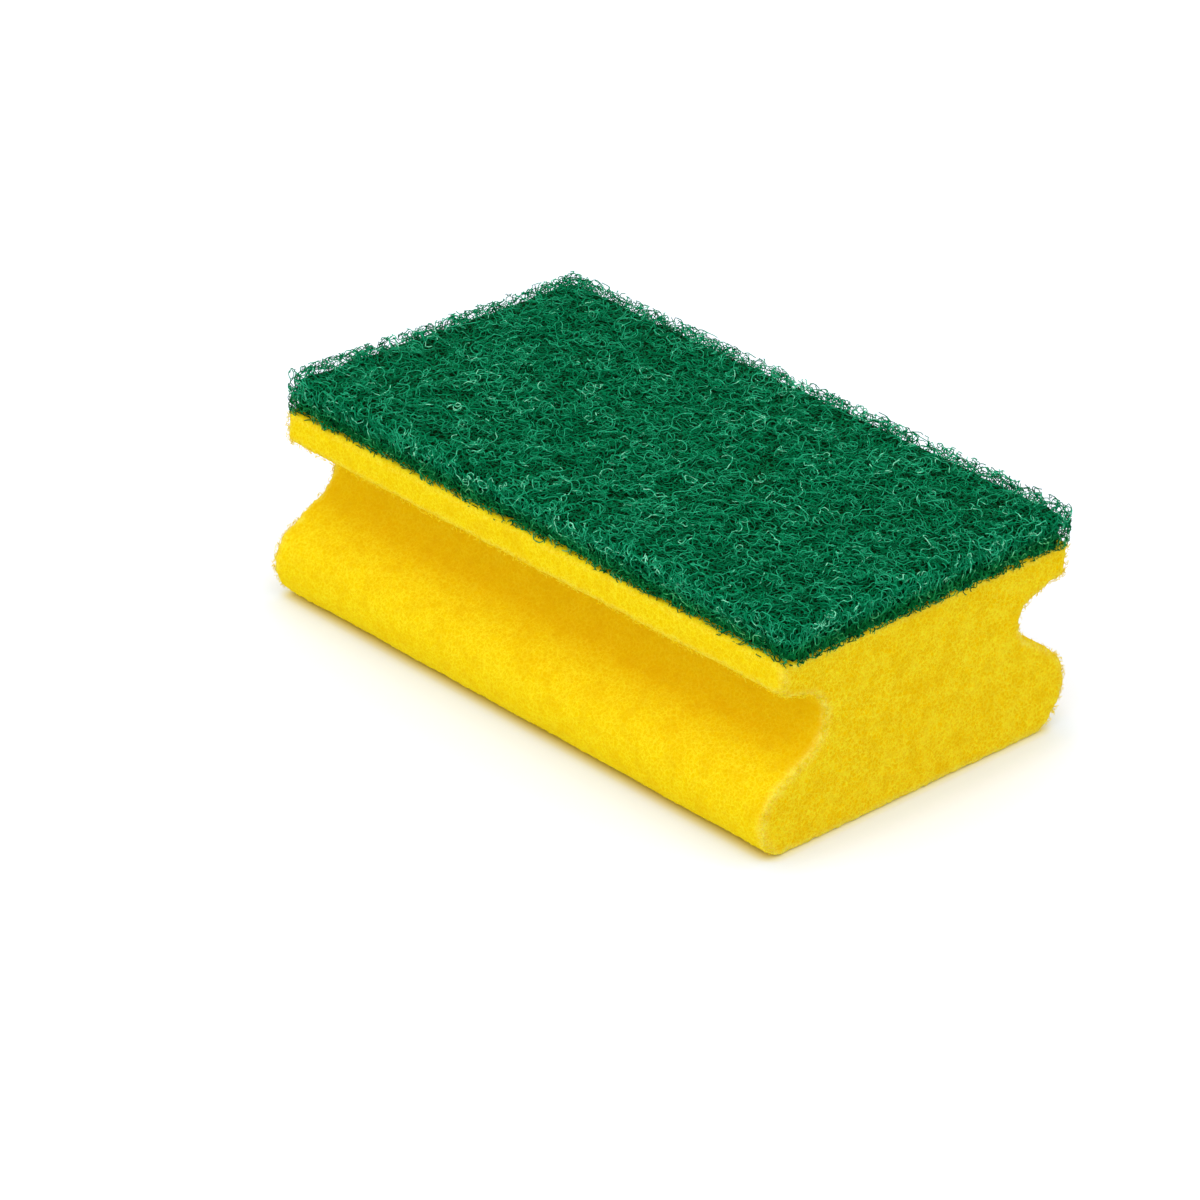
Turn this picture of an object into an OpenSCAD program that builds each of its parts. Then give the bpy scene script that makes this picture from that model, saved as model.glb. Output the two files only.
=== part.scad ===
// Cleaning sponge: a foam block with a finger groove along each long side,
// and a scouring pad of matted fibre bonded to its top.
// X runs along the length, Y across the width and Z up from the flat underside.

/* [Foam block] */
// Length of the foam, cut square at both ends
foam_l = 130; // [90:1:180]
// Height of the foam, from the underside to the bonded top
foam_h = 39; // [33:0.5:60]
// Width across the flange at the top
flange_w = 75; // [70:0.5:90]
// Height of the flange's straight side
flange_h = 6.5; // [4:0.1:8]
// Width across the rounded lower grips
grip_w = 80.5; // [76:0.5:95]
// Radius of the front grip, on the -Y side
grip_r = 7.9; // [7:0.1:8.5]
// Height of the front grip's centre over the underside
grip_z = 7.5; // [6:0.1:7.8]
// Radius of the back grip, which is fuller and rises higher
back_grip_r = 9.8; // [9.4:0.1:10.4]
// Height of the back grip's centre over the underside
back_grip_z = 9; // [7.5:0.1:9.3]

/* [Finger groove] */
// Width of the foam that is left between the two grooves
neck_w = 51.3; // [40:0.1:54]
// Radius at the bottom of the front groove
groove_r = 6.6; // [5:0.1:7]
// Depth of the front groove's centre below the bonded top
groove_drop = 14.8; // [14.2:0.1:16]
// Radius at the bottom of the back groove
back_groove_r = 4.4; // [3.6:0.1:5]
// Depth of the back groove's centre below the bonded top
back_groove_drop = 12.9; // [12.2:0.1:14]

/* [Scouring pad] */
// How far the pad stops short of the foam at each end
end_setback = 0.3; // [0:0.1:2]
// Thickness of the pad over its curled strands
pad_t = 7; // [5:0.1:12]
// How far the torn edges are bitten back in places
torn = 0.9; // [0.3:0.1:1.5]
// Spacing of the bites along the torn edges
torn_step = 4; // [3:0.5:8]

/* [Fibre curls] */
// Thickness of one strand of matted fibre
strand_d = 1.3; // [0.8:0.1:1.6]
// Curls along the length
curl_cols = 12; // [6:1:13]
// Curls across the width
curl_rows = 7; // [4:1:7]
// Radius of the tightest curl
curl_r_min = 3.2; // [2:0.1:4]
// Radius of the widest curl
curl_r_max = 5.4; // [4.2:0.1:6]
// Sweep of the shortest curl, in degrees
curl_sweep_min = 150; // [90:10:200]
// Sweep of the longest curl, in degrees
curl_sweep_max = 320; // [210:10:340]

/* [Hidden] */

foam_colour = [0.93, 0.79, 0.10];
pad_colour = [0.07, 0.42, 0.26];
curve_fn = 64;
strand_fn = 16;

// Each side of the foam, as its grip's radius and height and its groove's radius and depth
front = [grip_r, grip_z, groove_r, groove_drop];
back = [back_grip_r, back_grip_z, back_groove_r, back_groove_drop];
sides = [[-1, front], [1, back]];
lip_edge = [flange_w / 2, foam_h - flange_h];
floor_cut = grip_w / 2;

// The pad is cut with the foam: flush with its flange, and set back a little at its ends
pad_l = foam_l - 2 * end_setback;
pad_w = flange_w;

// Dense web of the pad, under the strands that lie part sunk in its top
seed = 41;
curl_noise = 20;
plies = 3;
strand_r = strand_d / 2;
strand_level = 0.3 * strand_r;
web_t = pad_t - strand_r;
slip = 0.3;

// The point at an angle and distance from another point
function polar(c, r, a) = c + r * [cos(a), sin(a)];

// The direction from one point to another, in degrees
function bearing(a, b) = atan2(b[1] - a[1], b[0] - a[0]);

// Centres of a side's grip and groove circles, as [y, z] with the side turned to +Y
function grip_c(side) = [grip_w / 2 - side[0], side[1]];
function groove_c(side) = [neck_w / 2 + side[2], foam_h - side[3]];

// The flats run this far inside the circles that they blend into, so each crosses
// its circle at a small angle and the outline has no gap or sliver there
blend = 0.02;

// The ramp from the groove down to the grip touches both inner circles. It crosses
// between them, so its ends lie at this angle on either side of the centre line.
// Where the groove is scooped into the grip itself, the two meet with no ramp
function ramp(side) =
    let (
        grip = side[0] - blend,
        groove = side[2] - blend,
        reach = norm(grip_c(side) - groove_c(side)),
        has_ramp = reach > groove + grip,
        cross_turn = has_ramp ? acos((groove + grip) / reach) : 0,
        a = bearing(groove_c(side), grip_c(side)) - cross_turn,
        top = polar(groove_c(side), groove, a),
        foot = polar(grip_c(side), -grip, a)
    )
    has_ramp ? [foot, top] : [top];

// The flange's underside runs from the lip's edge until it touches the inner groove circle
function under_end(side) =
    let (
        groove = side[2] - blend,
        lip_turn = acos(groove / norm(lip_edge - groove_c(side)))
    )
    polar(groove_c(side), groove, bearing(groove_c(side), lip_edge) + lip_turn);

function half_outline(side) = [
    [grip_c(side)[0], 0],
    each ramp(side),
    under_end(side),
    lip_edge,
    [lip_edge[0], foam_h]
];

function mirrored(points) = [for (i = [len(points) - 1:-1:0]) [-points[i][0], points[i][1]]];

// Cross-section of the foam, with the grips added and the grooves scooped out
module foam_profile() {
    difference() {
        union() {
            polygon(concat(half_outline(back), mirrored(half_outline(front))));
            for (side = sides)
                translate([side[0] * grip_c(side[1])[0], grip_c(side[1])[1]])
                    circle(r = side[1][0], $fn = curve_fn);
        }
        for (side = sides)
            translate([side[0] * groove_c(side[1])[0], groove_c(side[1])[1]])
                circle(r = side[1][2], $fn = curve_fn);
        translate([-grip_w / 2, -floor_cut])
            square([grip_w, floor_cut]);
    }
}

module foam_body() {
    color(foam_colour)
        translate([-foam_l / 2, 0, 0])
            rotate([90, 0, 90])
                linear_extrude(height = foam_l)
                    foam_profile();
}

// Random numbers that are the same every time, one list for each use
function noise(low, high, count, use) = rands(low, high, count, seed + use);

// Points along one torn side, bitten inwards at random
function torn_side(from, to, use) =
    let (
        count = ceil(norm(to - from) / torn_step),
        inward = [from[1] - to[1], to[0] - from[0]] / norm(to - from),
        bite = noise(0, torn, count, use)
    )
    [for (i = [0:count - 1]) from + (to - from) * i / count + inward * bite[i]];

function torn_outline(use) =
    let (
        l = pad_l / 2,
        w = pad_w / 2,
        corners = [[-l, -w], [l, -w], [l, w], [-l, w]]
    )
    [for (i = [0:3]) each torn_side(corners[i], corners[(i + 1) % 4], use + i)];

// Dense web, laid up in plies whose torn edges don't line up
module web() {
    ply_t = web_t / plies;
    for (ply = [0:plies - 1])
        translate([0, 0, ply * ply_t])
            linear_extrude(height = ply_t)
                polygon(torn_outline(4 * ply));
}

// One strand, looped round its centre in the plane z = 0
module curl(r, start, sweep) {
    rotate([0, 0, start])
        rotate_extrude(angle = sweep, $fn = curve_fn)
            translate([r, 0])
                circle(r = strand_r, $fn = strand_fn);
}

// Strands over the top of the web, in a grid that is staggered and shaken,
// each at one of three levels so that they cross over and under each other
module curls() {
    field = [pad_l, pad_w] - 2 * [torn, torn];
    pitch = [field[0] / (curl_cols + 0.5), field[1] / curl_rows];
    count = curl_cols * curl_rows;
    r = noise(curl_r_min, curl_r_max, count, curl_noise);
    start = noise(0, 360, count, curl_noise + 1);
    sweep = noise(curl_sweep_min, curl_sweep_max, count, curl_noise + 2);
    shake = noise(-slip, slip, 2 * count, curl_noise + 3);
    for (i = [0:curl_cols - 1], j = [0:curl_rows - 1]) {
        k = i + j * curl_cols;
        limit = field / 2 - [1, 1] * (r[k] + strand_r);
        x = (i + 0.5 + 0.5 * (j % 2) + shake[2 * k]) * pitch[0] - field[0] / 2;
        y = (j + 0.5 + shake[2 * k + 1]) * pitch[1] - field[1] / 2;
        level = (i + 2 * j) % 3;
        translate([
            max(-limit[0], min(limit[0], x)),
            max(-limit[1], min(limit[1], y)),
            web_t - level * strand_level
        ])
            curl(r[k], start[k], sweep[k]);
    }
}

module scouring_pad() {
    color(pad_colour)
        translate([0, 0, foam_h]) {
            web();
            curls();
        }
}

foam_body();
scouring_pad();
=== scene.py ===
import math
import bmesh
import bpy
from mathutils import Matrix, Vector


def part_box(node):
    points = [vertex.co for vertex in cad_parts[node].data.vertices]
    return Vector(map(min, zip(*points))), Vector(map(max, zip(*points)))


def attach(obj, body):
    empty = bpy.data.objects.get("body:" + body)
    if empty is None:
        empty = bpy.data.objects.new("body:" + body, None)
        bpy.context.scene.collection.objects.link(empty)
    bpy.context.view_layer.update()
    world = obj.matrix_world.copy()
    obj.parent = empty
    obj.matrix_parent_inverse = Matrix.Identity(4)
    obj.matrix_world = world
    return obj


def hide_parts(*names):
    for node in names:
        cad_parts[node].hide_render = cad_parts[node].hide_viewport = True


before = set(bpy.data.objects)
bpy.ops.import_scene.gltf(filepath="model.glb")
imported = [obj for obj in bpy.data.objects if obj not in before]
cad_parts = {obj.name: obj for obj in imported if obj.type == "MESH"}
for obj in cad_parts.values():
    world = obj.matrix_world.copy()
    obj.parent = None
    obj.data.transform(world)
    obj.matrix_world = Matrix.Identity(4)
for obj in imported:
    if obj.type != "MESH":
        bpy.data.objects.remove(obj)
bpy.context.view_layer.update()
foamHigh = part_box("foam_body")[1]
padLow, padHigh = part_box("scouring_pad")
mm = 0.001
perSquareMm = 1e6


# The camera looks down one corner of the sponge, rolled a little
cameraSettings = {
    "azimuth": 44.184, "elevation": 27.671, "roll": 3.209,
    "distance": 0.88213, "aim": (-0.016437, 0.0, 0.005955),
    "lens": 139.03, "sensor": 36.0, "clip": (0.05, 20),
}


def makeCamera(s):
    azimuth, elevation, roll = (math.radians(s[k]) for k in ("azimuth", "elevation", "roll"))
    back = Vector((math.sin(azimuth) * math.cos(elevation),
                   -math.cos(azimuth) * math.cos(elevation), math.sin(elevation)))
    level = Vector((math.cos(azimuth), math.sin(azimuth), 0))
    up = back.cross(level)
    right = level * math.cos(roll) + up * math.sin(roll)
    top = up * math.cos(roll) - level * math.sin(roll)
    data = bpy.data.cameras.new("camera")
    data.lens = s["lens"]
    data.sensor_width = s["sensor"]
    data.clip_start, data.clip_end = s["clip"]
    camera = bpy.data.objects.new("camera", data)
    turn = Matrix((right, top, back)).transposed().to_4x4()
    camera.matrix_world = Matrix.Translation(Vector(s["aim"]) + back * s["distance"]) @ turn
    bpy.context.scene.collection.objects.link(camera)
    bpy.context.scene.camera = camera


makeCamera(cameraSettings)
print("camera placed")


# A socket that can be used in sums
class Value:
    def __init__(self, graph, socket):
        self.graph = graph
        self.socket = socket

    def out(self, name):
        return Value(self.graph, self.socket.node.outputs[name])

    def maths(self, operation, first, second=0.0):
        return self.graph.node("ShaderNodeMath", {"operation": operation}, {0: first, 1: second})

    def __add__(self, other): return self.maths("ADD", self, other)
    def __radd__(self, other): return self.maths("ADD", other, self)
    def __sub__(self, other): return self.maths("SUBTRACT", self, other)
    def __rsub__(self, other): return self.maths("SUBTRACT", other, self)
    def __mul__(self, other): return self.maths("MULTIPLY", self, other)
    def __rmul__(self, other): return self.maths("MULTIPLY", other, self)
    def __truediv__(self, other): return self.maths("DIVIDE", self, other)
    def __pow__(self, other): return self.maths("POWER", self, other)
    def atMost(self, other): return self.maths("MINIMUM", self, other)
    def atLeast(self, other): return self.maths("MAXIMUM", self, other)
    def over(self, other): return self.maths("GREATER_THAN", self, other)
    def sine(self): return self.maths("SINE", self)
    def cosine(self): return self.maths("COSINE", self)
    def unsigned(self): return self.maths("ABSOLUTE", self)

    # A smooth step, which may also run downwards
    def ramp(self, low, high, toLow=0.0, toHigh=1.0):
        return self.graph.node("ShaderNodeMapRange", {"interpolation_type": "SMOOTHSTEP"},
                               {0: self, 1: low, 2: high, 3: toLow, 4: toHigh})

    # A noise, which lies round a half, as a push of up to the amount either way
    def sway(self, amount):
        return (self - 0.5) * 2 * amount


# Nodes of one tree, made one at a time
class Graph:
    def __init__(self, tree):
        self.tree = tree

    def node(self, kind, settings=None, sockets=None, output=0):
        made = self.tree.nodes.new(kind)
        for name, value in (settings or {}).items():
            if name == "stops":
                self.setStops(made.color_ramp, value)
            else:
                setattr(made, name, value)
        for key, value in (sockets or {}).items():
            if isinstance(value, Value):
                self.tree.links.new(value.socket, made.inputs[key])
            else:
                made.inputs[key].default_value = value
        return Value(self, made.outputs[output])

    def setStops(self, ramp, stops):
        while len(ramp.elements) < len(stops):
            ramp.elements.new(0.5)
        for element, (position, colour) in zip(ramp.elements, stops):
            element.position = position
            element.color = (*colour, 1)

    def vector(self, operation, first, second):
        return self.node("ShaderNodeVectorMath", {"operation": operation}, {0: first, 1: second})

    def scaled(self, first, amount):
        return self.node("ShaderNodeVectorMath", {"operation": "SCALE"}, {0: first, 3: amount})

    def join(self, x=0.0, y=0.0, z=0.0):
        return self.node("ShaderNodeCombineXYZ", None, {0: x, 1: y, 2: z})

    def part(self, vector, axis):
        return self.node("ShaderNodeSeparateXYZ", None, {0: vector}).out(axis)

    def attribute(self, name):
        return self.node("ShaderNodeAttribute", {"attribute_name": name}).out("Fac")

    def noise(self, place, scale, detail=2, output="Fac", **more):
        sockets = {"Vector": place, "Scale": scale, "Detail": detail, **more}
        return self.node("ShaderNodeTexNoise", None, sockets).out(output)

    def cells(self, place, scale, feature="F1"):
        sockets = {"Vector": place, "Scale": scale}
        return self.node("ShaderNodeTexVoronoi", {"feature": feature}, sockets).out("Distance")

    def mixColours(self, factor, first, second, blend="MIX"):
        return self.node("ShaderNodeMix", {"data_type": "RGBA", "blend_type": blend},
                         {0: factor, 6: first, 7: second}, output=2)

    def bump(self, strength, distance, height):
        return self.node("ShaderNodeBump", None,
                         {"Strength": strength, "Distance": distance, "Height": height})


# A colour as seen on screen, 0 to 255, as linear light
def srgb(red, green, blue):
    def linear(v):
        v /= 255
        return v / 12.92 if v <= 0.04045 else ((v + 0.055) / 1.055) ** 2.4
    return (linear(red), linear(green), linear(blue), 1)


def startMaterial(name):
    material = bpy.data.materials.new(name)
    material.use_nodes = True
    material.node_tree.nodes.clear()
    return material, Graph(material.node_tree)


def finishMaterial(graph, surface):
    end = graph.tree.nodes.new("ShaderNodeOutputMaterial")
    graph.tree.links.new(surface.socket, end.inputs["Surface"])


# Foam: open cells of just under a millimetre with pale struts, over smaller ones that are set further in, the
# pores between the struts darkened partly with painted shade.
# Painted shade darkens the grooves and a little of the sawn ends, which are also warmer in tone, and painted
# light makes the foam more pale along its cut edges, as if lit through the thin frayed foam
foamFinish = {
    "cell": 0.95 * mm, "innerCell": 0.75, "innerShift": 0.013, "innerStrength": 0.6,
    "warp": 1.3, "warpScale": 1.3, "strutWidth": (0.015, 0.12),
    "deep": srgb(231, 178, 0), "body": srgb(246, 211, 6), "sawn": srgb(255, 210, 0),
    "strut": srgb(255, 238, 50), "pale": srgb(255, 241, 100),
    "poreScale": 0.9, "poreRoughness": 0.6, "poreRange": (0.75, 0.3), "poreDepth": 0.8,
    "blotchScale": 250, "darkBlotch": (0.45, 0.7), "paleBlotch": (0.5, 0.3), "blotchDepth": 0.3,
    "plainDepth": 0.5, "sawnDepth": 0.5, "grooveShade": 0.45, "sawnShade": 0.2,
    "crestPale": 0.1, "crestStrut": 0.4, "crestEnd": 0.3, "endBand": (foamHigh.x - 4 * mm, foamHigh.x - mm),
    "roughness": 0.9, "subsurface": 0.4, "radius": (1.0, 0.7, 0.05), "reach": 1.6 * mm,
    "bump": 0.5, "bumpDistance": 0.25 * mm, "poreBump": 0.3,
    "sheen": 0.25, "sheenRoughness": 0.3, "sheenTint": srgb(255, 236, 60),
}


def makeFoamMaterial(s):
    material, g = startMaterial("openCellFoam")
    place = g.node("ShaderNodeTexCoord").out("Object")
    cut, crest, hollow = (g.attribute(name) for name in ("cut", "crest", "hollow"))

    def cellEdges(size, shift):
        moved = g.vector("ADD", place, (shift, shift, shift))
        warp = g.noise(moved, s["warpScale"] / size, output="Color")
        shaken = g.vector("ADD", moved, g.scaled(warp, s["warp"] * size))
        return 1 - g.cells(shaken, 1 / size, "DISTANCE_TO_EDGE").ramp(*s["strutWidth"])

    inner = cellEdges(s["cell"] * s["innerCell"], s["innerShift"])
    strut = cellEdges(s["cell"], 0.0).atLeast(inner * s["innerStrength"])
    fine = g.noise(place, s["poreScale"] / s["cell"], 3, Roughness=s["poreRoughness"])
    broad = g.noise(place, s["blotchScale"], 3)
    pore = (1 - strut) * fine.ramp(*s["poreRange"])
    depth = s["plainDepth"] + cut * s["sawnDepth"]
    atEnd = g.part(place, "X").unsigned().ramp(*s["endBand"])
    colour = g.mixColours(cut, s["body"], s["sawn"])
    colour = g.mixColours(strut * depth, colour, s["strut"])
    # Partly the foam's open texture, partly painted shade: the pores between the struts are mixed toward the
    # deep colour
    colour = g.mixColours(pore * depth * s["poreDepth"], colour, s["deep"])
    colour = g.mixColours(broad.ramp(*s["darkBlotch"]) * s["blotchDepth"], colour, s["deep"])
    colour = g.mixColours(broad.ramp(*s["paleBlotch"]) * cut * s["blotchDepth"], colour, s["strut"])
    # Painted shade: the inner grooves, and a little of the sawn ends, are mixed toward the deep colour
    colour = g.mixColours(hollow * s["grooveShade"] + cut * s["sawnShade"], colour, s["deep"])
    # Painted light: near the cut edges the colour is mixed toward pale, most on the struts and at the ends,
    # as if lit through the thin frayed foam
    paintedEdgeLight = crest * (s["crestPale"] + strut * s["crestStrut"] + atEnd * s["crestEnd"])
    colour = g.mixColours(paintedEdgeLight, colour, s["pale"])
    finishMaterial(g, g.node("ShaderNodeBsdfPrincipled", None, {
        "Base Color": colour, "Roughness": s["roughness"], "Specular IOR Level": 0.0,
        "Normal": g.bump(depth * s["bump"], s["bumpDistance"], strut - pore * s["poreBump"]),
        "Subsurface Weight": s["subsurface"], "Subsurface Radius": s["radius"],
        "Subsurface Scale": s["reach"],
        "Sheen Weight": s["sheen"], "Sheen Roughness": s["sheenRoughness"], "Sheen Tint": s["sheenTint"],
    }))
    return material


# Scouring fibre: each strand has its own tone, its specks and palest tones are painted glints, and painted
# shade darkens the lowest strands
fibreFinish = {
    "shades": {
        # The stop at 1.0 is a painted glint
        0.0: srgb(0, 84, 44), 0.45: srgb(0, 146, 94), 0.9: srgb(54, 198, 146), 1.0: srgb(150, 248, 205),
    },
    "tone": 0.8, "toneBase": 0.1, "speckScale": 900, "speckle": 0.9,
    "low": srgb(168, 204, 150), "footShadeBand": (padLow.z + 5 * mm, padLow.z + 1.5 * mm),
    "roughness": (0.35, 0.6), "glossBand": (0.3, 0.7), "gloss": 0.03,
}


def makeFibreMaterial(s):
    material, g = startMaterial("scouringFibre")
    place = g.node("ShaderNodeTexCoord").out("Object")
    speck = g.noise(place, s["speckScale"])
    # Painted highlight: the specks push some strands up to the painted glint at the top of the ramp
    shade = g.attribute("tone") * s["tone"] + (speck - 0.5) * s["speckle"] + s["toneBase"]
    stops = [(position, colour[:3]) for position, colour in s["shades"].items()]
    colour = g.node("ShaderNodeValToRGB", {"stops": stops}, {"Fac": shade})
    # Painted shade: strands near the pad's foot are multiplied darker
    colour = g.mixColours(g.part(place, "Z").ramp(*s["footShadeBand"]), colour, s["low"], "MULTIPLY")
    finishMaterial(g, g.node("ShaderNodeBsdfPrincipled", None, {
        "Base Color": colour, "Roughness": speck.ramp(*s["glossBand"], *s["roughness"]),
        "Specular IOR Level": s["gloss"],
    }))
    return material


# Web: the dark matted mass that shows between the strands, its near-black cell hollows painted shade of the
# pad's depth
webFinish = {
    "hollow": srgb(0, 36, 6), "strand": srgb(0, 118, 70), "grid": 0.9 * mm, "strandWidth": (0.03, 0.2),
    "warp": 1.4, "warpScale": 0.7, "bump": 0.8, "bumpDistance": 0.4 * mm, "roughness": 0.8, "gloss": 0.03,
}


def makeWebMaterial(s):
    material, g = startMaterial("mattedWeb")
    place = g.node("ShaderNodeTexCoord").out("Object")
    warp = g.noise(place, s["warpScale"] / s["grid"], 3, "Color")
    shaken = g.vector("ADD", place, g.scaled(warp, s["warp"] * s["grid"]))
    strand = 1 - g.cells(shaken, 1 / s["grid"], "DISTANCE_TO_EDGE").ramp(*s["strandWidth"])
    # Partly fibre green, partly painted shade: the web's cell hollows are near black
    finishMaterial(g, g.node("ShaderNodeBsdfPrincipled", None, {
        "Base Color": g.mixColours(strand, s["hollow"], s["strand"]),
        "Normal": g.bump(s["bump"], s["bumpDistance"], strand),
        "Roughness": s["roughness"], "Specular IOR Level": s["gloss"],
    }))
    return material


strutFinish = {"body": srgb(255, 222, 5), "pale": srgb(255, 238, 55), "roughness": 0.7}


def makeStrutMaterial(s):
    material, g = startMaterial("looseStrut")
    finishMaterial(g, g.node("ShaderNodeBsdfPrincipled", None, {
        "Base Color": g.mixColours(g.attribute("tone"), s["body"], s["pale"]),
        "Roughness": s["roughness"], "Specular IOR Level": 0.0,
    }))
    return material


foamMaterial = makeFoamMaterial(foamFinish)
strutMaterial = makeStrutMaterial(strutFinish)
fibreMaterial = makeFibreMaterial(fibreFinish)
webMaterial = makeWebMaterial(webFinish)
print("materials made")


def link(piece):
    bpy.context.scene.collection.objects.link(piece)
    return piece


# The piece with its modifiers applied, as a new plain mesh object in its place
def bake(piece, name):
    evaluated = piece.evaluated_get(bpy.context.evaluated_depsgraph_get())
    mesh = bpy.data.meshes.new_from_object(evaluated)
    mesh.name = name
    bpy.data.objects.remove(piece)
    return link(bpy.data.objects.new(name, mesh))


# A copy of the foam's CAD form, with its doubled corners joined
def copyFoam(name):
    piece = link(bpy.data.objects.new(name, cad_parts["foam_body"].data.copy()))
    b = bmesh.new()
    b.from_mesh(piece.data)
    bmesh.ops.remove_doubles(b, verts=b.verts, dist=1e-6)
    b.to_mesh(piece.data)
    b.free()
    return piece


def addRemesh(piece, voxel):
    remesh = piece.modifiers.new("grain", "REMESH")
    remesh.mode = "VOXEL"
    remesh.voxel_size = voxel


# An empty Geometry Nodes tree with a named input for each size, and the values of its inputs
def startTree(name, sizes):
    tree = bpy.data.node_groups.new(name, "GeometryNodeTree")
    tree.interface.new_socket("Geometry", in_out="INPUT", socket_type="NodeSocketGeometry")
    for label, value in sizes.items():
        kind = "NodeSocketInt" if isinstance(value, int) else "NodeSocketFloat"
        tree.interface.new_socket(label, in_out="INPUT", socket_type=kind)
    tree.interface.new_socket("Geometry", in_out="OUTPUT", socket_type="NodeSocketGeometry")
    g = Graph(tree)
    start = g.node("NodeGroupInput")
    return tree, g, {label: start.out(label) for label in ["Geometry", *sizes]}


def finishTree(g, geometry, material):
    whole = g.node("GeometryNodeRealizeInstances", None, {0: geometry})
    dressed = g.node("GeometryNodeSetMaterial", None, {0: whole, "Material": material})
    end = g.tree.nodes.new("NodeGroupOutput")
    g.tree.links.new(dressed.socket, end.inputs[0])


def runTree(piece, tree, sizes):
    modifier = piece.modifiers.new(tree.name, "NODES")
    modifier.node_group = tree
    for item in tree.interface.items_tree:
        if item.in_out == "INPUT" and item.name in sizes:
            modifier[item.identifier] = sizes[item.name]


# How far a place lies from the sharp edges of a form
def offEdges(g, form, corner, place):
    blunt = g.node("FunctionNodeCompare", {"operation": "LESS_THAN"},
                   {0: g.node("GeometryNodeInputMeshEdgeAngle"), 1: corner})
    sharp = g.node("GeometryNodeDeleteGeometry", {"domain": "EDGE", "mode": "ALL"},
                   {0: form, "Selection": blunt})
    return g.node("GeometryNodeProximity", {"target_element": "EDGES"},
                  {0: sharp, "Source Position": place}).out("Distance")


# Foam block: the CAD form with its faces roughened by the cut cells, and its sharp edges frayed
foamSizes = {
    "voxel": 0.8 * mm, "soften": 0.5, "softenSteps": 2,
    "frayScale": 500, "ragged": 0.9, "bondBand": 1.5 * mm, "sawnFacing": (0.5, 0.8), "pitMiddle": 0.45,
    "tree": {
        "Wave": 0.22 * mm, "Wave grain": 90.0, "Grain": 0.2 * mm, "Grain scale": 700.0,
        "Pit": 0.22 * mm, "Pit scale": 1100.0, "Crest": 1.8 * mm, "Fray": 0.25 * mm, "Worn": 0.3 * mm,
        "Corner": 0.7, "Hollow from": 36 * mm, "Hollow to": 27 * mm,
    },
}


def makeFoam(s):
    piece = copyFoam("foamBlock")
    outline = bpy.data.objects.new("outline", piece.data.copy())
    addRemesh(piece, s["voxel"])
    soften = piece.modifiers.new("soften", "SMOOTH")
    soften.factor = s["soften"]
    soften.iterations = s["softenSteps"]
    tree, g, size = startTree("foamSurface", s["tree"])
    place = g.node("GeometryNodeInputPosition")
    normal = g.node("GeometryNodeInputNormal")
    form = g.node("GeometryNodeObjectInfo", {"transform_space": "RELATIVE"},
                  {"Object": outline}).out("Geometry")
    off = offEdges(g, form, size["Corner"], place)
    frayed = g.noise(place, s["frayScale"])
    belowPad = g.part(place, "Z").ramp(foamHigh.z, foamHigh.z - s["bondBand"])
    # The crest mask frays the edges in shape, and it also carries the painted edge light into the foam's
    # colour
    crest = (1 - (off / size["Crest"] + (frayed - 0.5) * s["ragged"]).ramp(0.0, 1.0)) * belowPad
    cut = g.part(normal, "X").unsigned().ramp(*s["sawnFacing"])
    wave = g.noise(place, size["Wave grain"], 1)
    grain = g.noise(place, size["Grain scale"])
    pit = g.cells(place, size["Pit scale"])
    push = (wave.sway(size["Wave"]) + grain.sway(size["Grain"]) + (pit - s["pitMiddle"]) * size["Pit"]
            + frayed.sway(crest) * size["Fray"] - crest * crest * size["Worn"])
    # This mask marks the inner grooves for painted shade in the foam's colour
    hollow = g.part(place, "Y").unsigned().ramp(size["Hollow from"], size["Hollow to"]) * (1 - cut)
    marked = size["Geometry"]
    for label, value in {"crest": crest, "cut": cut, "hollow": hollow}.items():
        marked = g.node("GeometryNodeStoreNamedAttribute", {"data_type": "FLOAT", "domain": "POINT"},
                        {0: marked, "Name": label, "Value": value})
    moved = g.node("GeometryNodeSetPosition", None, {0: marked, "Offset": g.scaled(normal, push)})
    after = g.node("GeometryNodeInputPosition")
    grounded = g.join(g.part(after, "X"), g.part(after, "Y"), g.part(after, "Z").atLeast(0.0))
    flat = g.node("GeometryNodeSetPosition", None, {0: moved, "Position": grounded})
    finishTree(g, g.node("GeometryNodeSetShadeSmooth", None, {0: flat, "Shade Smooth": True}), foamMaterial)
    runTree(piece, tree, s["tree"])
    made = bake(piece, "foamBlock")
    bpy.data.objects.remove(outline)
    return made


foam = makeFoam(foamSizes)
print("foam block:", len(foam.data.polygons), "faces")


# Scouring pad: a dense dark web that ends short of the pad's edges, and curled fibres matted over the
# whole pad. Both start from a block whose sides lean in, whose top is rounded and rises a little to the
# left-hand end, and which reaches down past the pad's underside
padSizes = {
    "foot": (-0.2 * mm, 1.3 * mm), "inset": (0.3 * mm, 0.4 * mm), "drop": 0.3 * mm,
    "tilt": 0.8 * mm, "round": 0.6 * mm, "steps": 3, "hang": 0.5 * mm,
}
webCore = {
    "foot": (0.2 * mm, 1.9 * mm), "inset": (1.0 * mm, 1.2 * mm), "drop": 1.1 * mm,
    "tilt": 0.8 * mm, "round": 1.0 * mm, "steps": 3, "hang": 0.8 * mm,
}


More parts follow.
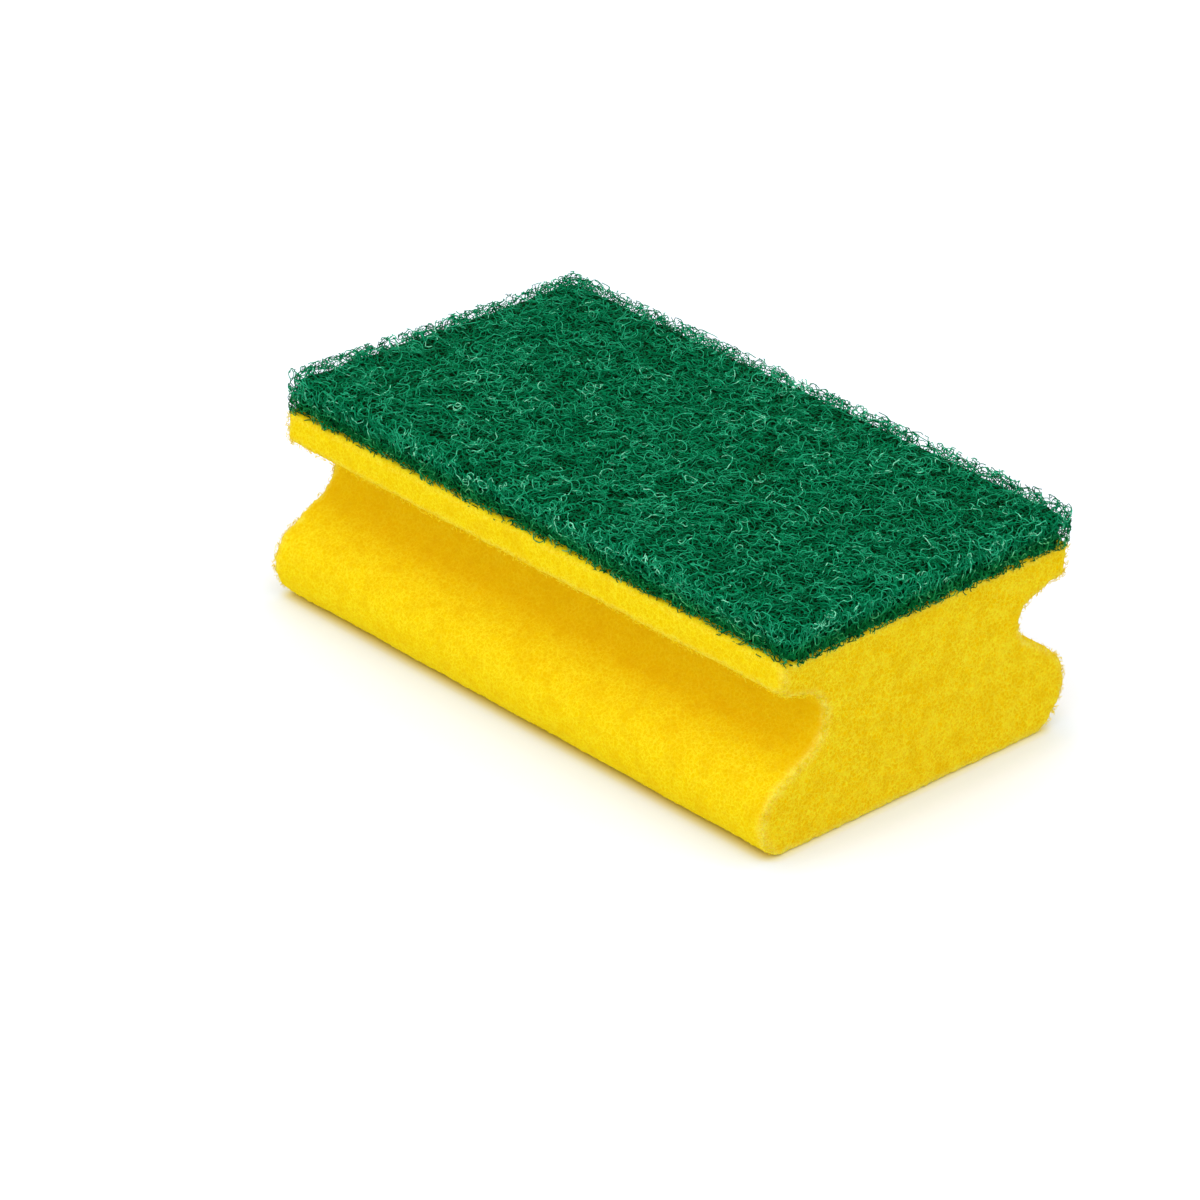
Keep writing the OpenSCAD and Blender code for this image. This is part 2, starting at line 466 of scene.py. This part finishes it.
def makePadCore(s):
    b = bmesh.new()
    bmesh.ops.create_cube(b, size=1)
    for v in b.verts:
        top = v.co.z > 0
        for i, inset in enumerate(s["inset"] if top else s["foot"]):
            v.co[i] = (padHigh[i] - inset) if v.co[i] > 0 else (padLow[i] + inset)
        v.co.z = padHigh.z - s["drop"] + (s["tilt"] if v.co.x < 0 else 0) if top else padLow.z - s["hang"]
    upper = [e for e in b.edges if all(v.co.z > padLow.z + mm for v in e.verts)]
    bmesh.ops.bevel(b, geom=upper, offset=s["round"], segments=s["steps"], affect="EDGES", profile=0.5)
    mesh = bpy.data.meshes.new("padCore")
    b.to_mesh(mesh)
    b.free()
    return link(bpy.data.objects.new("padCore", mesh))


# The web is lumpy all over, and ragged along its foot, where it meets the foam
webSizes = {
    "voxel": 0.92 * mm, "hollowMiddle": 0.55, "tornMiddle": 0.45,
    "raggedBand": 2 * mm, "underFacing": (-0.9, -0.5),
    "tree": {
        "Lump": 0.45 * mm, "Lump scale": 330.0, "Hollow": 0.8 * mm, "Hollow scale": 750.0,
        "Rim": padLow.z, "Ragged": 2.2 * mm, "Ragged scale": 480.0,
    },
}


def makeWeb(core, s):
    piece = makePadCore(core)
    addRemesh(piece, s["voxel"])
    tree, g, size = startTree("webSurface", s["tree"])
    place = g.node("GeometryNodeInputPosition")
    normal = g.node("GeometryNodeInputNormal")
    lump = g.noise(place, size["Lump scale"])
    hollow = g.cells(place, size["Hollow scale"])
    push = lump.sway(size["Lump"]) + (hollow - s["hollowMiddle"]) * size["Hollow"]
    low = g.part(place, "Z").ramp(size["Rim"] + s["raggedBand"], size["Rim"])
    torn = (g.noise(place, size["Ragged scale"]) - s["tornMiddle"]) * size["Ragged"] * low
    out = g.scaled(normal, (push + torn) * g.part(normal, "Z").ramp(*s["underFacing"]))
    moved = g.node("GeometryNodeSetPosition", None,
                   {0: size["Geometry"], "Offset": g.vector("ADD", out, g.join(0.0, 0.0, torn))})
    finishTree(g, g.node("GeometryNodeSetShadeSmooth", None, {0: moved, "Shade Smooth": True}), webMaterial)
    runTree(piece, tree, s["tree"])
    return bake(piece, "matWeb")


web = makeWeb(webCore, webSizes)
print("web:", len(web.data.polygons), "faces")


# A random number between two others, the same for every element with the same ID
def dice(g, low, high, about, seed):
    return g.node("FunctionNodeRandomValue", {"data_type": "FLOAT"},
                  {2: low, 3: high, 7: about, 8: seed}, output=1)


# Each curl reads the wandering of its heading and its rise from a row of its own in one noise
curlShape = {
    "row": 3.7, "seedRow": 11.3, "steady": 0.8, "wander": 2.8, "wanderStretch": 2.6,
    "rise": 3, "riseStretch": 4.0, "riseRow": 40,
}


# Loose curls, each grown step by step along a heading that wanders
def makeKinds(g, size, s):
    seed = size["Seed"]
    row = g.node("GeometryNodeMeshLine", None, {"Count": size["Kinds"], "Offset": (0.0, 0.0, 0.0)})
    line = g.node("GeometryNodeCurvePrimitiveLine", None, {"Start": (0, 0, 0), "End": (1, 0, 0)})
    points = g.node("GeometryNodeResampleCurve", None, {"Curve": line, "Count": size["Steps"] + 1})
    copies = g.node("GeometryNodeInstanceOnPoints", None, {"Points": row, "Instance": points})
    many = g.node("GeometryNodeRealizeInstances", None, {0: copies})
    which = g.node("GeometryNodeCurveOfPoint").out("Curve Index")
    along = g.node("GeometryNodeSplineParameter").out("Factor")

    def drift(stretch, shift):
        spot = g.join(along * stretch, which * s["row"] + seed * s["seedRow"] + shift)
        return g.node("ShaderNodeTexNoise", {"noise_dimensions": "2D"},
                      {"Vector": spot, "Scale": 1.0, "Detail": 1}) - 0.5

    def addUp(kind, field):
        return g.node("GeometryNodeAccumulateField", {"data_type": kind}, {0: field, "Group ID": which})

    steady = dice(g, -s["steady"], s["steady"], which, seed + 1)
    heading = addUp("FLOAT", (steady + drift(s["wanderStretch"], 0) * s["wander"]) * size["Bend"])
    stride = g.scaled(g.join(heading.cosine(), heading.sine()), size["Step"])
    walked = addUp("FLOAT_VECTOR", stride).out("Trailing")
    centre = g.node("GeometryNodeFieldAverage", {"data_type": "FLOAT_VECTOR"}, {0: walked, "Group ID": which})
    rise = drift(s["riseStretch"], s["riseRow"]) * s["rise"] * size["Lift"]
    path = g.vector("ADD", g.vector("SUBTRACT", walked, centre), g.join(0.0, 0.0, rise))
    curled = g.node("GeometryNodeSetPosition", None, {0: many, "Position": path})
    return g.node("GeometryNodeSplitToInstances", {"domain": "CURVE"},
                  {0: curled, "Group ID": g.node("GeometryNodeInputIndex")})


strandLay = {"turn": 6.283, "sizes": (0.75, 1.25), "picks": 1000, "sides": 3}


# Curls turned at random on scattered points, then drawn to within reach of the ground and given thickness
def layStrands(g, size, ground, scattered, normal, s):
    seed = size["Seed"]
    index = g.node("GeometryNodeInputIndex")
    upright = g.node("FunctionNodeAlignRotationToVector", {"axis": "Z"}, {"Vector": normal})
    lean = [dice(g, -1.0, 1.0, index, seed + n) * size["Lean"] for n in (2, 3)]
    angles = g.join(*lean, dice(g, 0.0, s["turn"], index, seed + 4))
    turn = g.node("FunctionNodeEulerToRotation", None, {0: angles})
    turned = g.node("FunctionNodeRotateRotation", {"rotation_space": "LOCAL"},
                    {0: upright, "Rotate By": turn})
    out = g.scaled(normal, dice(g, 0.0, 1.0, index, seed + 5) * size["Proud"])
    raised = g.node("GeometryNodeSetPosition", None, {0: scattered, "Offset": out})
    pick = g.node("FunctionNodeRandomValue", {"data_type": "INT"},
                  {4: 0, 5: s["picks"], 7: index, 8: seed + 6}, output=2)
    laid = g.node("GeometryNodeInstanceOnPoints", None, {
        "Points": raised, "Instance": makeKinds(g, size, curlShape), "Pick Instance": True,
        "Instance Index": pick, "Rotation": turned,
        "Scale": g.scaled((1, 1, 1), dice(g, *s["sizes"], index, seed + 7))})
    tone = dice(g, size["Darkest"], size["Lightest"], index, seed + 8)
    toned = g.node("GeometryNodeStoreNamedAttribute", {"data_type": "FLOAT", "domain": "INSTANCE"},
                   {0: laid, "Name": "tone", "Value": tone})
    strands = g.node("GeometryNodeRealizeInstances", None, {0: toned})
    here = g.node("GeometryNodeInputPosition")
    near = g.node("GeometryNodeProximity", {"target_element": "FACES"},
                  {0: ground, "Source Position": here}).out("Position")
    outward = g.node("GeometryNodeSampleNearestSurface", {"data_type": "FLOAT_VECTOR"}, {
        "Mesh": ground, "Value": g.node("GeometryNodeInputNormal"), "Sample Position": here}).out("Value")
    away = g.vector("DOT_PRODUCT", g.vector("SUBTRACT", here, near), outward).out("Value")
    held = g.scaled(outward, away.atMost(size["Reach"]).atLeast(size["Depth"] * -1))
    drawn = g.node("GeometryNodeSetPosition", None, {0: strands, "Position": g.vector("ADD", near, held)})
    section = g.node("GeometryNodeCurvePrimitiveCircle", {"mode": "RADIUS"},
                     {"Resolution": s["sides"], "Radius": size["Strand"]})
    return g.node("GeometryNodeCurveToMesh", None,
                  {"Curve": drawn, "Profile Curve": section, "Fill Caps": True})


# Densities are in points to the square millimetre
def scatter(g, size, wanted):
    density = size["Density"] * perSquareMm
    return g.node("GeometryNodeDistributePointsOnFaces", {"distribute_method": "RANDOM"},
                  {0: size["Geometry"], "Selection": wanted, "Density": density, "Seed": size["Seed"]})


# Curled strands grow where the pad's faces point up, or down by less than the first limit, and where
# they point up by no more than the second
fibreSizes = {
    "Kinds": 80, "Steps": 15, "Step": 0.42 * mm, "Bend": 0.66, "Strand": 0.1 * mm, "Lift": 0.55 * mm,
    "Lean": 0.6, "Proud": 0.9 * mm, "Density": 0.145, "Depth": 0.3 * mm, "Reach": 1.25 * mm,
    "Steepest": -0.3, "Flattest": 2.0, "Darkest": 0.0, "Seed": 3,
}


def makeFibres(name, pad, s):
    piece = makePadCore(pad)
    tree, g, size = startTree("curledFibres", s)
    facing = g.part(g.node("GeometryNodeInputNormal"), "Z")
    scattered = scatter(g, size, facing.over(size["Steepest"]) * (1 - facing.over(size["Flattest"])))
    strands = layStrands(g, size, size["Geometry"], scattered, scattered.out("Normal"), strandLay)
    finishTree(g, strands, fibreMaterial)
    runTree(piece, tree, s)
    return bake(piece, name)


# Three layers, each standing prouder than the one under it, with lighter strands on top and darker ones below
# as painted light and shade of the pad's depth, and a fringe round the pad's sides
layerSizes = {
    "levels": (0.1, 0.6, 1.0), "seedStep": 20, "reach": 0.45, "reachStep": 0.55,
    "darkestStep": 0.2, "lightest": 0.65, "lightestStep": 0.4,
}
fringeSizes = {
    "Seed": 90, "Density": 0.85, "Step": 0.36 * mm, "Steps": 12, "Bend": 0.7,
    "Reach": 0.9 * mm, "Depth": 0.4 * mm, "Flattest": 0.6, "Lightest": 1.1,
}


def makeLayer(i, level, s):
    # Darkest and Lightest rise with the level: painted shade on the lower layers, painted light on the upper
    return makeFibres("fibres" + str(i), padSizes, dict(
        fibreSizes, Seed=fibreSizes["Seed"] + s["seedStep"] * i, Proud=fibreSizes["Proud"] * level,
        Reach=fibreSizes["Reach"] * (s["reach"] + s["reachStep"] * level),
        Darkest=s["darkestStep"] * level, Lightest=s["lightest"] + s["lightestStep"] * level))


fibres = [makeLayer(i, level, layerSizes) for i, level in enumerate(layerSizes["levels"])]
fibres.append(makeFibres("fringe", padSizes, fibreSizes | fringeSizes))
print("fibres:", [len(piece.data.polygons) for piece in fibres], "faces")


# Loose cell struts along the foam's cut edges, sparser along its length than round its ends.
# There are none on its top and underside, nor right beside them
strutSizes = {
    "flat": 0.98, "endBand": (foamHigh.x, foamHigh.x - 2 * mm), "sparser": 3.5, "chanceSeed": 30,
    "tree": {
        "Kinds": 40, "Steps": 6, "Step": 0.26 * mm, "Bend": 0.75, "Strand": 0.055 * mm, "Lift": 0.3 * mm,
        "Lean": 1.2, "Proud": -0.7 * mm, "Density": 3.4, "Depth": 0.8 * mm, "Reach": 0.3 * mm,
        "Band": 1.7 * mm, "Corner": 0.7, "Bottom": 1.1 * mm, "Top": foamHigh.z - 0.3 * mm,
        "Darkest": 0.0, "Lightest": 1.0, "Seed": 9,
    },
}


def makeStruts(name, s):
    piece = copyFoam(name)
    tree, g, size = startTree("looseStruts", s["tree"])
    level = g.part(g.node("GeometryNodeInputNormal"), "Z").unsigned()
    everywhere = scatter(g, size, 1 - level.over(s["flat"]))
    here = g.node("GeometryNodeInputPosition")
    off = offEdges(g, size["Geometry"], size["Corner"], here)
    chance = dice(g, 0.0, 1.0, g.node("GeometryNodeInputIndex"), size["Seed"] + s["chanceSeed"])
    sparse = g.part(here, "X").unsigned().ramp(*s["endBand"], 1.0, s["sparser"])
    high = g.part(here, "Z")
    tooFar = (off * sparse / size["Band"]).over(chance)
    unwanted = tooFar.atLeast(high.over(size["Top"])).atLeast(1 - high.over(size["Bottom"]))
    scattered = g.node("GeometryNodeDeleteGeometry", {"domain": "POINT"},
                       {0: everywhere, "Selection": unwanted})
    strands = layStrands(g, size, size["Geometry"], scattered, everywhere.out("Normal"), strandLay)
    finishTree(g, strands, strutMaterial)
    runTree(piece, tree, s["tree"])
    return bake(piece, name)


struts = makeStruts("looseStruts", strutSizes)
print("struts:", len(struts.data.polygons), "faces")

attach(foam, "root")
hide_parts("foam_body")
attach(struts, "root")
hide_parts("foam_body")
for piece in (web, *fibres):
    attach(piece, "root")
    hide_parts("scouring_pad")


# Floor and light: a white table in an even white room, with one soft lamp from the left.
# Close to the foam the table is given a painted yellowish shadow, as if light had come through the foam, and
# the camera sees the table a little brighter than it lights the sponge, and brighter again away from the
# foam, a painted falloff of the shadow
roomSettings = {
    "floor": 3.0, "table": (0.90, 0.92, 0.97, 1), "seen": (0.925, 0.985, 1.08, 1),
    "far": (1.03, 1.08, 1.2, 1), "paintedWarmShade": (0.9, 0.77, 0.18, 1),
    "spread": 4.5 * mm, "clear": 12 * mm, "tuck": {"X": 2.4 * mm, "Y": 5 * mm},
    "room": 0.9, "roomColour": (1, 1, 1, 1), "lamp": 0.75, "lampSize": 60, "lampTurn": (30, 0, 20),
}


def makeRoom(s):
    mesh = bpy.data.meshes.new("floor")
    r = s["floor"]
    mesh.from_pydata([(-r, -r, 0), (r, -r, 0), (r, r, 0), (-r, r, 0)], [], [(0, 1, 2, 3)])
    floor = link(bpy.data.objects.new("floor", mesh))
    material, g = startMaterial("whiteTable")
    place = g.node("ShaderNodeTexCoord").out("Object")
    x = (g.part(place, "X").unsigned() - (foamHigh.x - s["tuck"]["X"])).atLeast(0.0)
    y = (g.part(place, "Y").unsigned() - (foamHigh.y - s["tuck"]["Y"])).atLeast(0.0)
    off = (x * x + y * y) ** 0.5
    # Painted shadow: near the foam the seen colour is mixed toward a yellowish shade, and away from it toward
    # a brighter colour
    tint = g.mixColours(off.ramp(s["spread"], s["clear"]), s["seen"], s["far"])
    tint = g.mixColours(off.ramp(s["spread"], 0.0), tint, s["paintedWarmShade"])
    plain = g.node("ShaderNodeBsdfDiffuse", None, {"Color": s["table"]})
    bright = g.node("ShaderNodeBsdfDiffuse", None, {"Color": tint})
    seen = g.node("ShaderNodeLightPath").out("Is Camera Ray")
    finishMaterial(g, g.node("ShaderNodeMixShader", None, {0: seen, 1: plain, 2: bright}))
    mesh.materials.append(material)
    world = bpy.data.worlds.new("room")
    world.use_nodes = True
    world.node_tree.nodes["Background"].inputs["Strength"].default_value = s["room"]
    world.node_tree.nodes["Background"].inputs["Color"].default_value = s["roomColour"]
    bpy.context.scene.world = world
    lamp = bpy.data.lights.new("softLamp", "SUN")
    lamp.energy = s["lamp"]
    lamp.angle = math.radians(s["lampSize"])
    holder = link(bpy.data.objects.new("softLamp", lamp))
    holder.rotation_euler = [math.radians(v) for v in s["lampTurn"]]


makeRoom(roomSettings)
bpy.context.scene.view_settings.view_transform = "Standard"
print("room made")
